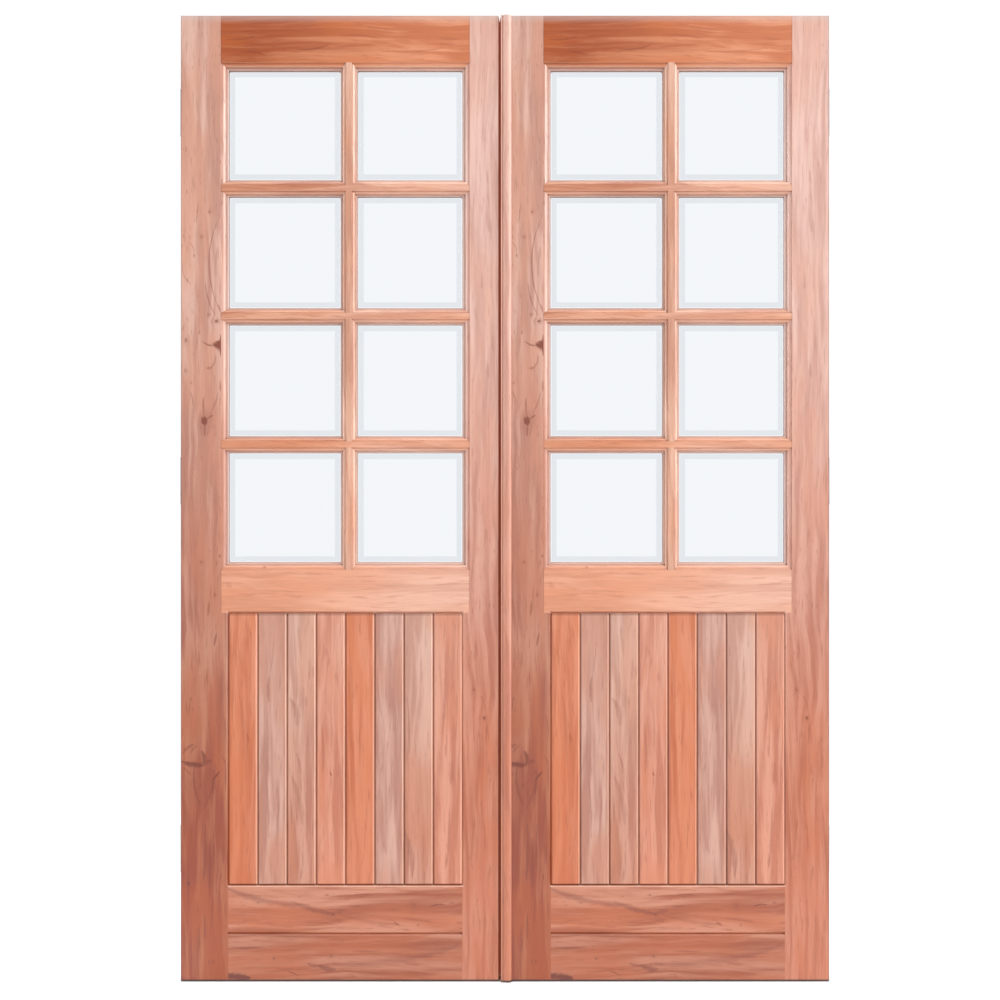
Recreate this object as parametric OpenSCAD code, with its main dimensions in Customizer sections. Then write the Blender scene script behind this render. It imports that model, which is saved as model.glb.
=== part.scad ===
// A pair of part-glazed timber doors, hung on butt hinges.
// X runs across the pair, Y runs from the front face to the back, Z runs up.
// Each leaf is drawn in a field frame: x = 0 is the left quirk line of its glazed field,
// y = 0 is its front face and z = 0 is its foot.

/* [Leaves] */
// Height of each leaf
door_h = 2032; // [1900:1:2200]
// Thickness of each leaf
leaf_t = 40; // [36:1:50]

/* [Stiles] */
// Plain face of the left leaf's hinge stile
left_hinge_flat = 84.5; // [80:0.5:110]
// Plain face of the left leaf's meeting stile
left_meeting_flat = 61; // [56:0.5:90]
// Plain face of the right leaf's meeting stile, with the cover strip on it
right_meeting_flat = 89.5; // [70:0.5:110]
// Plain face of the right leaf's hinge stile
right_hinge_flat = 78; // [72:0.5:110]
// Width of the arris along the outer edges of a stile
arris = 1; // [0.5:0.1:2]

/* [Rails] */
// Plain face of the top rail
top_rail_flat = 98; // [80:1:140]
// Plain face of the middle rail
middle_rail_flat = 90.5; // [70:0.5:140]
// Height of the upper bottom rail
upper_rail_h = 102; // [80:1:140]
// Height of the lower bottom rail
lower_rail_h = 100; // [80:1:140]

/* [Glazed field] */
// Width of the glazed field between its quirk lines
field_w = 523.5; // [450:0.5:700]
// Rows of panes
rows = 4; // [2:1:5]
// Plain face of a glazing bar
bar_flat = 13; // [8:0.5:24]
// How far the upright bar stands to the right of the middle
bar_shift = 7.3; // [-20:0.1:20]

/* [Moulding] */
// Width of the moulding on stiles and rails
frame_mould_w = 15.5; // [12:0.5:24]
// Width of the moulding on each side of a bar
bar_mould_w = 11.5; // [9:0.5:16]
// Depth of the quirk beside the plain face
quirk_depth = 3; // [1:0.1:4]
// Depth of the quarter round below the quirk
ovolo_depth = 6.2; // [4:0.1:8]
// Thickness of the moulded lip in front of the glass
lip_t = 14.5; // [12:0.5:18]

/* [Glass] */
// Thickness of a pane inside its bevel
glass_t = 6; // [4:0.5:10]
// Thickness of a pane at its rim
glass_rim_t = 3.5; // [2.5:0.1:4]
// Width of the ground bevel that shows
glass_bevel_w = 12.7; // [8:0.1:25]
// Depth of the glazing rebate behind the lip
rebate_w = 6.5; // [5:0.5:8]
// Gap between the edge of a pane and its rebate
pane_clearance = 0.5; // [0.2:0.1:2]
// Gap between the sight line and the start of the bevel
bevel_margin = 0.4; // [0:0.1:2]
// Depth of a glazing bead behind the glass
bead_depth = 17; // [10:0.5:20]

/* [Boards] */
// Number of boards in each leaf
boards = 8; // [4:1:10]
// Height of the boarded panel
panel_h = 573.5; // [400:0.5:700]
// Thickness of a board
board_t = 20; // [18:0.5:24]
// Width and depth of each flank of a V joint
v_joint = 3.5; // [1.5:0.1:5]
// Length of a tongue
tongue_l = 6; // [4:0.5:8]
// Thickness of a tongue
tongue_t = 6; // [4:0.5:8]
// Gap between two boards
board_gap = 0.2; // [0.1:0.1:1]

/* [Joinery] */
// Length of a rail tenon past the quirk line
tenon_l = 40; // [25:1:50]
// Thickness of a tenon
tenon_t = 12; // [8:0.5:14]
// Shoulder above and below a rail tenon
tenon_shoulder = 18; // [10:1:30]
// Length of a bar's stub tenon
stub_l = 8; // [5:0.5:12]
// Clearance round tenons and tongues
joint_clearance = 0.15; // [0.05:0.05:0.5]

/* [Cover strip] */
// Width of the strip on the right leaf's meeting stile
strip_w = 22.5; // [16:0.5:40]
// How far the strip stands in front of the leaf
strip_proud = 8; // [6:0.5:12]

/* [Hinges] */
// Height of a hinge
hinge_h = 100; // [75:5:125]
// Foot of the leaf to the lowest hinge
hinge_from_foot = 225; // [150:5:300]
// Top of the leaf to the highest hinge
hinge_from_top = 150; // [120:5:250]
// Thickness of a hinge plate
plate_t = 2.5; // [2:0.5:4]
// Front face of the leaf to the edge of a plate
plate_inset = 17; // [4:0.5:20]
// Radius of a knuckle
knuckle_r = 5.5; // [5:0.5:8]
// Radius of a hinge pin
pin_r = 3; // [2.5:0.5:3.5]
// Running clearance round a pin
pin_clearance = 0.05; // [0.02:0.01:0.1]
// Gap between the leaf and the jamb line
jamb_gap = 1.5; // [1.5:0.5:3]
// Height between the two rows of screws
screw_rise = 72; // [50:1:80]
// Distance between the two columns of screws
screw_step = 11; // [10:0.5:16]
// How much closer together the rows of screws are in the leaf plate
screw_stagger = 8; // [6:0.5:14]
// Radius of a screw hole
screw_hole_r = 2.5; // [2:0.1:2.8]
// Length of a screw
screw_l = 30; // [20:1:40]

/* [Meeting edges] */
// Gap between the leaves on the back face
back_gap = 0.65; // [0.5:0.05:3]
// Room left past the path of each swinging edge
swing_clearance = 0.3; // [0.3:0.05:1]

/* [Hidden] */
$fn = 48;
SIDES = ["left", "right"];
FRAME_PIECES = ["hinge_stile", "meeting_stile", "top_rail", "middle_rail", "upper_bottom_rail",
    "lower_bottom_rail", "upright_bar", "cross_bars", "glazing_beads", "hinge_plates",
    "hinge_screws", "jamb_plates", "hinge_pins"];

// Colours of the timber, glass and metal
stile_tone = [0.80, 0.57, 0.48];
top_rail_tone = [0.72, 0.42, 0.29];
middle_rail_tone = [0.90, 0.64, 0.53];
bottom_rail_tone = [0.76, 0.48, 0.38];
bar_tone = [0.85, 0.63, 0.54];
bead_tone = [0.82, 0.60, 0.50];
board_tones = [[0.84, 0.52, 0.40], [0.81, 0.62, 0.56], [0.87, 0.65, 0.56], [0.86, 0.58, 0.49]];
glass_tone = [0.90, 0.93, 0.95, 0.45];
metal_tone = [0.80, 0.80, 0.78];

// Heights of the rails, the panel and the glazed field
panel_bottom = lower_rail_h + upper_rail_h;
panel_top = panel_bottom + panel_h;
field_bottom = panel_top + middle_rail_flat;
field_top = door_h - top_rail_flat;

// Rows and columns of panes, between the quirk lines
pane_field_h = (field_top - field_bottom - (rows - 1) * bar_flat) / rows;
bar_x = field_w / 2 + bar_shift;
function row_of(i) = ceil(i / 2);
function column_of(i) = 2 - i % 2;
function row_top(r) = field_top - (r - 1) * (pane_field_h + bar_flat);
function row_bottom(r) = row_top(r) - pane_field_h;
function column_left(c) = c == 1 ? 0 : bar_x + bar_flat / 2;
function column_right(c) = c == 1 ? bar_x - bar_flat / 2 : field_w;
function left_mould(c) = c == 1 ? frame_mould_w : bar_mould_w;
function right_mould(c) = c == 2 ? frame_mould_w : bar_mould_w;
function top_mould(r) = r == 1 ? frame_mould_w : bar_mould_w;
function bottom_mould(r) = r == rows ? frame_mould_w : bar_mould_w;

// Sight lines of a pane
function sight_left(i) = column_left(column_of(i)) + left_mould(column_of(i));
function sight_right(i) = column_right(column_of(i)) - right_mould(column_of(i));
function sight_bottom(i) = row_bottom(row_of(i)) + bottom_mould(row_of(i));
function sight_top(i) = row_top(row_of(i)) - top_mould(row_of(i));

// Section of the moulding
quirk_share = 0.05;
ovolo_share = 0.55;
edge_share = 0.88;
ovolo_steps = 8;
fillet_step = 1.5;
edge_step = 1.8;
mould_root = 1;
function moulding_section(w) = concat(
    [[0, -mould_root], [0, 0]],
    [for (i = [0:ovolo_steps]) let (a = 90 * i / ovolo_steps)
        [quirk_depth + ovolo_depth * (1 - cos(a)), w * (quirk_share + ovolo_share * sin(a))]],
    [[quirk_depth + ovolo_depth + fillet_step, w * (quirk_share + ovolo_share)],
     [quirk_depth + ovolo_depth + fillet_step, w * edge_share],
     [quirk_depth + ovolo_depth + fillet_step + edge_step, w],
     [lip_t, w],
     [lip_t, -mould_root]]);

// Back layer of the frame, behind the lip
rebate_inset = frame_mould_w - rebate_w;
bar_back_half = bar_flat / 2 + bar_mould_w - rebate_w;
glass_back = lip_t + glass_rim_t;
tenon_front = leaf_t / 2;

// Boarded panel
panel_left = frame_mould_w;
panel_right = field_w - frame_mould_w;
board_pitch = (panel_right - panel_left) / boards;
tongue_front = board_t / 2 - tongue_t / 2;
tongue_back = tongue_front + tongue_t;
groove_d = tongue_l + 1;

// Hinges and the meeting edges
pin_back = 0.4;
pin_y = leaf_t + pin_back + knuckle_r;
knuckle_count = 5;
knuckle_h = hinge_h / knuckle_count;
knuckle_gap = 0.3;
function knuckle_low(k) = k * knuckle_h - hinge_h / 2 + (k == 0 ? 0 : knuckle_gap / 2);
function knuckle_high(k) =
    (k + 1) * knuckle_h - hinge_h / 2 - (k == knuckle_count - 1 ? 0 : knuckle_gap / 2);
screw_r = screw_hole_r - 0.25;
screw_head_r = screw_hole_r + 1.8;
head_depth = 1.5;
seat_gap = 0.05;
pocket_gap = 0.1;
pin_head_r = pin_r + 1.5;
pin_head_h = 3;
pin_bevel = 0.5;
slot_w = 1.2;
slot_depth = 1;
hinge_heights = [
    hinge_from_foot + hinge_h / 2,
    (hinge_from_foot + door_h - hinge_from_top) / 2,
    door_h - hinge_from_top - hinge_h / 2];
plate_middle = (plate_inset + leaf_t) / 2;
screw_ys = [plate_middle - screw_step / 2, plate_middle + screw_step / 2];
jamb_screw_zs = [-screw_rise / 2, screw_rise / 2];
leaf_screw_zs = [screw_stagger - screw_rise / 2, screw_rise / 2 - screw_stagger];

left_leaf_w = left_hinge_flat + field_w + left_meeting_flat;
right_leaf_w = right_meeting_flat + field_w + right_hinge_flat;
function swing_over(reach, depth) = sqrt(reach * reach + depth * depth) - reach;
left_setback = swing_over(left_leaf_w + jamb_gap / 2, pin_y) + swing_clearance;
right_setback = swing_over(right_leaf_w + jamb_gap / 2, pin_y + strip_proud) + swing_clearance;
meeting_gap = back_gap + left_setback + right_setback;
pair_w = left_leaf_w + meeting_gap + right_leaf_w;
left_field_x = left_hinge_flat - pair_w / 2;
right_field_x = pair_w / 2 - right_hinge_flat - field_w;
middle_y = (pin_y + knuckle_r - strip_proud) / 2;

// Placing
module centred() translate([0, -middle_y, 0]) children();
module left_leaf() centred() translate([left_field_x, 0, 0]) children();
module right_leaf() centred() translate([right_field_x, 0, 0]) children();
module at_field_right() translate([field_w, 0, 0]) mirror([1, 0, 0]) children();
module at_left_side(x, top) translate([x, 0, top]) rotate([0, 90, 0]) children();
module at_right_side(x, bottom) translate([x, 0, bottom]) rotate([0, -90, 0]) children();
module at_foot(x, z) translate([x, 0, z]) children();
module at_head(x, z) translate([x, 0, z]) rotate([0, 180, 0]) children();

// A box given by its low and high corners
module box(low, high) translate(low) cube(high - low);

// An outline in X and Z, made solid from y0 to y1
module upright_plate(outline, y0, y1)
    translate([0, y1, 0]) rotate([90, 0, 0]) linear_extrude(y1 - y0) polygon(outline);

// A section in Y and Z, run along X
module run_x(section, x0, x1)
    translate([x0, 0, 0]) rotate([90, 0, 90]) linear_extrude(x1 - x0) polygon(section);

// A strip of the given section along X, with both ends mitred
module mitred_strip(section, length, w, start_w, end_w, root)
    intersection() {
        run_x(section, 0, length);
        upright_plate([[0, -root], [length, -root], [length, 0], [length - end_w, w],
            [start_w, w], [0, 0]], -1, leaf_t + 1);
    }

// The four mouldings round the pane at column c and row r
module left_moulding(c, r)
    at_left_side(column_left(c), row_top(r))
        mitred_strip(moulding_section(left_mould(c)), pane_field_h, left_mould(c),
            top_mould(r), bottom_mould(r), mould_root);

module right_moulding(c, r)
    at_right_side(column_right(c), row_bottom(r))
        mitred_strip(moulding_section(right_mould(c)), pane_field_h, right_mould(c),
            bottom_mould(r), top_mould(r), mould_root);

module foot_moulding(c, r)
    at_foot(column_left(c), row_bottom(r))
        mitred_strip(moulding_section(bottom_mould(r)), column_right(c) - column_left(c),
            bottom_mould(r), left_mould(c), right_mould(c), mould_root);

module head_moulding(c, r)
    at_head(column_right(c), row_top(r))
        mitred_strip(moulding_section(top_mould(r)), column_right(c) - column_left(c),
            top_mould(r), right_mould(c), left_mould(c), mould_root);

// Tenon of the rail between heights z0 and z1, from its shoulder past the quirk line
module tenon(z0, z1, shoulder_x, grow = 0)
    box([-tenon_l - grow, tenon_front - grow, z0 + tenon_shoulder - grow],
        [shoulder_x + 1, tenon_front + tenon_t + grow, z1 - tenon_shoulder + grow]);

module both_tenons(z0, z1, shoulder_x) {
    tenon(z0, z1, shoulder_x);
    at_field_right() tenon(z0, z1, shoulder_x);
}

// Stub tenon of the cross bar under row r
module bar_stub(r, grow = 0)
    let (z = row_bottom(r) - bar_flat / 2)
        box([rebate_inset - stub_l - grow, tenon_front - grow, z - bar_back_half / 2 - grow],
            [rebate_inset + 1, tenon_front + tenon_t + grow, z + bar_back_half / 2 + grow]);

// Stub tenons at the head and the foot of the upright bar
module upright_stubs(grow = 0)
    box([bar_x - bar_back_half / 2 - grow, tenon_front - grow,
            field_bottom + rebate_inset - stub_l - grow],
        [bar_x + bar_back_half / 2 + grow, tenon_front + tenon_t + grow,
            field_top - rebate_inset + stub_l + grow]);

// Groove and V joint round the boarded panel, cut into the members that hold it
module panel_seat() {
    box([panel_left - groove_d, tongue_front - joint_clearance, panel_bottom - groove_d],
        [panel_right + groove_d, tongue_back + joint_clearance, panel_top + groove_d]);
    intersection() {
        translate([0, 0, panel_bottom - 2 * v_joint])
            linear_extrude(panel_h + 4 * v_joint)
                polygon([[panel_left - v_joint - 1, -1], [panel_right + v_joint + 1, -1],
                    [panel_right, v_joint], [panel_left, v_joint]]);
        run_x([[-1, panel_bottom - v_joint - 1], [-1, panel_top + v_joint + 1],
            [v_joint, panel_top], [v_joint, panel_bottom]], 0, field_w);
    }
}

// A left-hand stile; its edge leans out by back_out at the back face
module stile(flat_w, back_out = 0)
    difference() {
        union() {
            linear_extrude(door_h)
                polygon([[arris - flat_w, 0], [0, 0], [0, lip_t], [rebate_inset, lip_t],
                    [rebate_inset, leaf_t], [arris - flat_w - back_out, leaf_t],
                    [-flat_w - back_out, leaf_t - arris], [-flat_w, arris]]);
            box([-flat_w / 2, 0, 0], [frame_mould_w, leaf_t, panel_top]);
            for (r = [1:rows]) left_moulding(1, r);
        }
        panel_seat();
        tenon(0, lower_rail_h, frame_mould_w, joint_clearance);
        tenon(lower_rail_h, panel_bottom, frame_mould_w, joint_clearance);
        tenon(panel_top, field_bottom, rebate_inset, joint_clearance);
        tenon(field_top, door_h, rebate_inset, joint_clearance);
        for (r = [1:rows - 1]) bar_stub(r, joint_clearance);
    }

// Pockets and pilot holes for the hinge plates in the edge of a left-hand stile
module hinge_seats(flat_w)
    for (z = hinge_heights) translate([-flat_w, 0, z]) {
        box([-1, plate_inset - pocket_gap, -hinge_h / 2 - pocket_gap],
            [plate_t, leaf_t + 1, hinge_h / 2 + pocket_gap]);
        for (y = screw_ys) for (dz = leaf_screw_zs)
            translate([0, y, dz]) rotate([0, 90, 0])
                cylinder(r = screw_r + seat_gap, h = screw_l + 2);
    }

module hinge_stile(flat_w)
    color(stile_tone) difference() {
        stile(flat_w);
        hinge_seats(flat_w);
    }

module meeting_stile(flat_w, back_out)
    color(stile_tone) stile(flat_w, back_out);

module top_rail()
    color(top_rail_tone) difference() {
        union() {
            box([0, 0, field_top], [field_w, lip_t, door_h]);
            run_x([[0, field_top], [0, door_h], [leaf_t, door_h],
                [leaf_t, field_top - rebate_inset], [lip_t, field_top - rebate_inset],
                [lip_t, field_top]], rebate_inset, field_w - rebate_inset);
            for (c = [1, 2]) head_moulding(c, 1);
            both_tenons(field_top, door_h, rebate_inset);
        }
        upright_stubs(joint_clearance);
    }

module middle_rail()
    color(middle_rail_tone) difference() {
        union() {
            box([0, 0, panel_top], [field_w, lip_t, field_bottom]);
            run_x([[0, panel_top], [0, field_bottom], [lip_t, field_bottom],
                [lip_t, field_bottom + rebate_inset], [leaf_t, field_bottom + rebate_inset],
                [leaf_t, panel_top]], rebate_inset, field_w - rebate_inset);
            for (c = [1, 2]) foot_moulding(c, rows);
            both_tenons(panel_top, field_bottom, rebate_inset);
        }
        panel_seat();
        upright_stubs(joint_clearance);
    }

// V joint between the two bottom rails
module rail_v_joint()
    run_x([[-1, lower_rail_h - v_joint - 1], [-1, lower_rail_h + v_joint + 1],
        [v_joint, lower_rail_h]], panel_left, panel_right);

// Tongue between the two bottom rails
module rail_tongue(grow = 0)
    box([panel_left, tongue_front - grow, lower_rail_h - 1],
        [panel_right, tongue_back + grow, lower_rail_h + tongue_l + grow]);

module upper_bottom_rail()
    color(bottom_rail_tone) difference() {
        union() {
            box([panel_left, 0, lower_rail_h], [panel_right, leaf_t, panel_bottom]);
            both_tenons(lower_rail_h, panel_bottom, panel_left);
        }
        rail_v_joint();
        rail_tongue(joint_clearance);
        panel_seat();
    }

module lower_bottom_rail()
    color(bottom_rail_tone) difference() {
        union() {
            box([panel_left, 0, 0], [panel_right, leaf_t, lower_rail_h]);
            rail_tongue();
            both_tenons(0, lower_rail_h, panel_left);
        }
        rail_v_joint();
    }

// Upright bar: moulded between the cross bars, and whole behind them
module upright_bar()
    color(bar_tone) union() {
        box([bar_x - bar_back_half, lip_t, field_bottom + rebate_inset],
            [bar_x + bar_back_half, leaf_t, field_top - rebate_inset]);
        for (r = [1:rows]) {
            box([bar_x - bar_flat / 2, 0, row_bottom(r)],
                [bar_x + bar_flat / 2, lip_t, row_top(r)]);
            box([bar_x - bar_flat / 2, 0, row_bottom(r) + rebate_inset],
                [bar_x + bar_flat / 2, leaf_t, row_top(r) - rebate_inset]);
            right_moulding(1, r);
            left_moulding(2, r);
        }
        upright_stubs();
    }

// Cross bar under row r: whole in front, and halved over the upright behind
module cross_bar(r) {
    z = row_bottom(r) - bar_flat / 2;
    section = [[0, z - bar_flat / 2], [0, z + bar_flat / 2], [lip_t, z + bar_flat / 2],
        [lip_t, z + bar_back_half], [leaf_t, z + bar_back_half], [leaf_t, z - bar_back_half],
        [lip_t, z - bar_back_half], [lip_t, z - bar_flat / 2]];
    box([0, 0, z - bar_flat / 2], [field_w, lip_t, z + bar_flat / 2]);
    run_x(section, rebate_inset, bar_x - bar_back_half);
    run_x(section, bar_x + bar_back_half, field_w - rebate_inset);
    for (c = [1, 2]) {
        foot_moulding(c, r);
        head_moulding(c, r + 1);
    }
    bar_stub(r);
    at_field_right() bar_stub(r);
}

module cross_bars()
    color(bar_tone) for (r = [1:rows - 1]) cross_bar(r);

// Bevelled pane: a flat rim in the rebate, then the ground bevel inside the sight line
module pane(i) {
    front = lip_t - (glass_t - glass_rim_t);
    rim = rebate_w - pane_clearance;
    bevel_end = bevel_margin + glass_bevel_w;
    x0 = sight_left(i);
    x1 = sight_right(i);
    z0 = sight_bottom(i);
    z1 = sight_top(i);
    color(glass_tone) intersection() {
        translate([0, 0, z0 - rebate_w]) linear_extrude(z1 - z0 + 2 * rebate_w)
            polygon([[x0 - rim, lip_t], [x0 + bevel_margin, lip_t], [x0 + bevel_end, front],
                [x1 - bevel_end, front], [x1 - bevel_margin, lip_t], [x1 + rim, lip_t],
                [x1 + rim, glass_back], [x0 - rim, glass_back]]);
        run_x([[lip_t, z0 - rim], [lip_t, z0 + bevel_margin], [front, z0 + bevel_end],
            [front, z1 - bevel_end], [lip_t, z1 - bevel_margin], [lip_t, z1 + rim],
            [glass_back, z1 + rim], [glass_back, z0 - rim]], x0 - rebate_w, x1 + rebate_w);
    }
}

// Section of a glazing bead, with a quarter round at its back
bead_w = rebate_w - joint_clearance;
bead_round = 4.5;
mitre_gap = 0.1;
bead_section = concat(
    [[glass_back, 0], [glass_back, bead_w], [glass_back + bead_depth - 2 * bead_round, bead_w]],
    [for (i = [1:ovolo_steps]) let (a = 90 * i / ovolo_steps)
        [glass_back + bead_depth - 2 * bead_round * (1 - sin(a)),
         bead_w - bead_round * (1 - cos(a))]],
    [[glass_back + bead_depth, 0]]);

// One strip of bead, cut to fit between the corners of a rebate of the given length
module bead(length)
    mitred_strip(bead_section, length - 2 * mitre_gap, bead_w, bead_w, bead_w, 0);

module glazing_beads()
    color(bead_tone) for (i = [1:2 * rows]) {
        x0 = sight_left(i) - bead_w;
        x1 = sight_right(i) + bead_w;
        z0 = sight_bottom(i) - bead_w;
        z1 = sight_top(i) + bead_w;
        at_left_side(x0, z1 - mitre_gap) bead(z1 - z0);
        at_right_side(x1, z0 + mitre_gap) bead(z1 - z0);
        at_foot(x0 + mitre_gap, z0) bead(x1 - x0);
        at_head(x1 - mitre_gap, z1) bead(x1 - x0);
    }

// Tongued and grooved board k, with a V joint all round its front
module board(k) {
    x0 = panel_left + (k - 1) * board_pitch + board_gap / 2;
    x1 = panel_left + k * board_pitch - board_gap / 2;
    z0 = panel_bottom;
    z1 = panel_top;
    left_edge = k == 1
        ? [[x0, tongue_back], [x0 - tongue_l, tongue_back], [x0 - tongue_l, tongue_front],
            [x0, tongue_front]]
        : [[x0, tongue_back + joint_clearance], [x0 + groove_d, tongue_back + joint_clearance],
            [x0 + groove_d, tongue_front - joint_clearance],
            [x0, tongue_front - joint_clearance]];
    color(board_tones[(k - 1) % len(board_tones)]) intersection() {
        translate([0, 0, z0 - groove_d]) linear_extrude(z1 - z0 + 2 * groove_d)
            polygon(concat(
                [[x0 + v_joint, 0], [x1 - v_joint, 0], [x1, v_joint], [x1, tongue_front],
                    [x1 + tongue_l, tongue_front], [x1 + tongue_l, tongue_back],
                    [x1, tongue_back], [x1, board_t], [x0, board_t]],
                left_edge,
                [[x0, v_joint]]));
        run_x([[0, z0 + v_joint], [0, z1 - v_joint], [v_joint, z1], [tongue_front, z1],
            [tongue_front, z1 + tongue_l], [tongue_back, z1 + tongue_l], [tongue_back, z1],
            [board_t, z1], [board_t, z0], [tongue_back, z0], [tongue_back, z0 - tongue_l],
            [tongue_front, z0 - tongue_l], [tongue_front, z0], [v_joint, z0]],
            x0 - groove_d, x1 + groove_d);
    }
}

// Cover strip: a fillet, a quirk and a rounded bead, planted on the right leaf
module cover_strip() {
    fillet_w = 2.6;
    fillet_h = 0.7 * strip_proud;
    base_h = 0.3 * strip_proud;
    groove_w = 0.6;
    margin = 0.5;
    round_start = fillet_w + 2 * groove_w;
    round_r = (strip_w - round_start - margin) / 2;
    round_steps = 16;
    color(stile_tone) translate([-right_meeting_flat, 0, 0]) linear_extrude(door_h)
        polygon(concat(
            [[0, 0], [0, -fillet_h], [fillet_w, -fillet_h], [fillet_w + groove_w, -base_h]],
            [for (i = [0:round_steps]) let (a = 180 * i / round_steps)
                [round_start + round_r * (1 - cos(a)),
                 -base_h - (strip_proud - base_h) * sin(a)]],
            [[strip_w, -base_h], [strip_w, 0]]));
}

// Hinges are drawn about the pin: the leaf plate lies towards +X
module left_hinges()
    centred() for (z = hinge_heights)
        translate([-pair_w / 2 - jamb_gap / 2, pin_y, z]) children();

module right_hinges()
    mirror([1, 0, 0]) left_hinges() children();

module knuckle(k)
    translate([0, 0, knuckle_low(k)]) cylinder(r = knuckle_r, h = knuckle_high(k) - knuckle_low(k));

// The neck between a plate and its knuckle k
module knuckle_neck(k)
    box([jamb_gap / 2, leaf_t - pin_y - 1, knuckle_low(k)],
        [jamb_gap / 2 + plate_t, 0, knuckle_high(k)]);

// A countersunk hole through a plate, wide at the face that shows in the gap
module plate_hole()
    rotate([0, 90, 0]) {
        translate([0, 0, -1]) cylinder(r = screw_hole_r, h = plate_t + 2);
        cylinder(r1 = screw_head_r + seat_gap, r2 = screw_hole_r, h = head_depth + seat_gap);
    }

// One half of a hinge, with the knuckles listed in turns and screw holes at heights screw_zs
module hinge_half(turns, screw_zs)
    color(metal_tone) difference() {
        union() {
            box([jamb_gap / 2, plate_inset - pin_y, -hinge_h / 2],
                [jamb_gap / 2 + plate_t, leaf_t - pin_y, hinge_h / 2]);
            for (k = turns) {
                knuckle(k);
                knuckle_neck(k);
            }
        }
        cylinder(r = pin_r + pin_clearance, h = 2 * hinge_h, center = true);
        for (y = screw_ys) for (dz = screw_zs)
            translate([jamb_gap / 2, y - pin_y, dz]) plate_hole();
    }

module leaf_plate() hinge_half([1, 3], leaf_screw_zs);
module jamb_plate() mirror([1, 0, 0]) hinge_half([0, 2, 4], jamb_screw_zs);

// Pin with a round-edged head that rests on the top knuckle
module hinge_pin()
    color(metal_tone) rotate_extrude()
        polygon([[0, -hinge_h / 2], [pin_r - pin_bevel, -hinge_h / 2],
            [pin_r, pin_bevel - hinge_h / 2],
            [pin_r, hinge_h / 2], [pin_head_r, hinge_h / 2],
            [pin_head_r, hinge_h / 2 + pin_head_h - 1],
            [pin_head_r - 1, hinge_h / 2 + pin_head_h], [0, hinge_h / 2 + pin_head_h]]);

// Slotted and countersunk wood screws that hold a leaf plate
module plate_screws()
    color(metal_tone) for (y = screw_ys) for (dz = leaf_screw_zs)
        translate([jamb_gap / 2, y - pin_y, dz]) difference() {
            rotate([0, 90, 0]) rotate_extrude()
                polygon([[0, seat_gap], [screw_head_r, seat_gap],
                    [screw_r, head_depth + seat_gap], [screw_r, screw_l - 2 * screw_r],
                    [0, screw_l]]);
            box([-1, -slot_w / 2, -screw_head_r - 1], [slot_depth, slot_w / 2, screw_head_r + 1]);
        }

// Left leaf
left_leaf() hinge_stile(left_hinge_flat);  // left_hinge_stile
left_leaf() at_field_right() meeting_stile(left_meeting_flat, left_setback);  // left_meeting_stile
left_leaf() top_rail();  // left_top_rail
left_leaf() middle_rail();  // left_middle_rail
left_leaf() upper_bottom_rail();  // left_upper_bottom_rail
left_leaf() lower_bottom_rail();  // left_lower_bottom_rail
left_leaf() upright_bar();  // left_upright_bar
left_leaf() cross_bars();  // left_cross_bars
left_leaf() glazing_beads();  // left_glazing_beads
for (i = [1:2 * rows])
    left_leaf() pane(i);
for (k = [1:boards])
    left_leaf() board(k);
left_hinges() leaf_plate();  // left_hinge_plates
left_hinges() plate_screws();  // left_hinge_screws

// Right leaf
right_leaf() at_field_right() hinge_stile(right_hinge_flat);  // right_hinge_stile
right_leaf() meeting_stile(right_meeting_flat, right_setback);  // right_meeting_stile
right_leaf() top_rail();  // right_top_rail
right_leaf() middle_rail();  // right_middle_rail
right_leaf() upper_bottom_rail();  // right_upper_bottom_rail
right_leaf() lower_bottom_rail();  // right_lower_bottom_rail
right_leaf() upright_bar();  // right_upright_bar
right_leaf() cross_bars();  // right_cross_bars
right_leaf() glazing_beads();  // right_glazing_beads
for (i = [1:2 * rows])
    right_leaf() pane(i);
for (k = [1:boards])
    right_leaf() board(k);
right_leaf() cover_strip();  // right_cover_strip
right_hinges() leaf_plate();  // right_hinge_plates
right_hinges() plate_screws();  // right_hinge_screws

// Fixed to the door opening
left_hinges() jamb_plate();  // left_jamb_plates
left_hinges() hinge_pin();  // left_hinge_pins
right_hinges() jamb_plate();  // right_jamb_plates
right_hinges() hinge_pin();  // right_hinge_pins
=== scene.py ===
"""Looks for the double door: timber, bevelled glass, steel hinges, studio light and camera."""

import math

import bmesh
import bpy
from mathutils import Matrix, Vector


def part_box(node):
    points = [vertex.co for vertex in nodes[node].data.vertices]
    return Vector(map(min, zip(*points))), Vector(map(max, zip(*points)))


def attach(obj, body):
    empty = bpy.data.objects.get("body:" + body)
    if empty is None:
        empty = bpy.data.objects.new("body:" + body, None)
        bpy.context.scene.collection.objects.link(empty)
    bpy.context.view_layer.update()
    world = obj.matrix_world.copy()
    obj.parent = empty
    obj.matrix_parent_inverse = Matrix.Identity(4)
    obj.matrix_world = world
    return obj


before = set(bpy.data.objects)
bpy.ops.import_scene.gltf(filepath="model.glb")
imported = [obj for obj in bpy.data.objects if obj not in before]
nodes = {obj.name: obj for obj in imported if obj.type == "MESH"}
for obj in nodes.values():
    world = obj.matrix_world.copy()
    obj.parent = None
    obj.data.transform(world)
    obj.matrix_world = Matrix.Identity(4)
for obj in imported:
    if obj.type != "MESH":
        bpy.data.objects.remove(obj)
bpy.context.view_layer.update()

# Places on a leaf, in metres. X runs right from the left quirk line of its glazed field, Y runs
# back from its front face, and Z runs up from its foot
TENON = 0.040
RAIL_LOW, RAIL_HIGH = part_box("left_top_rail")
FRONT = RAIL_LOW.y
FIELD_W = RAIL_HIGH.x - RAIL_LOW.x - 2 * TENON
LEAF_H = RAIL_HIGH.z
MIDPLANE = (RAIL_HIGH.y - RAIL_LOW.y) / 2
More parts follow.
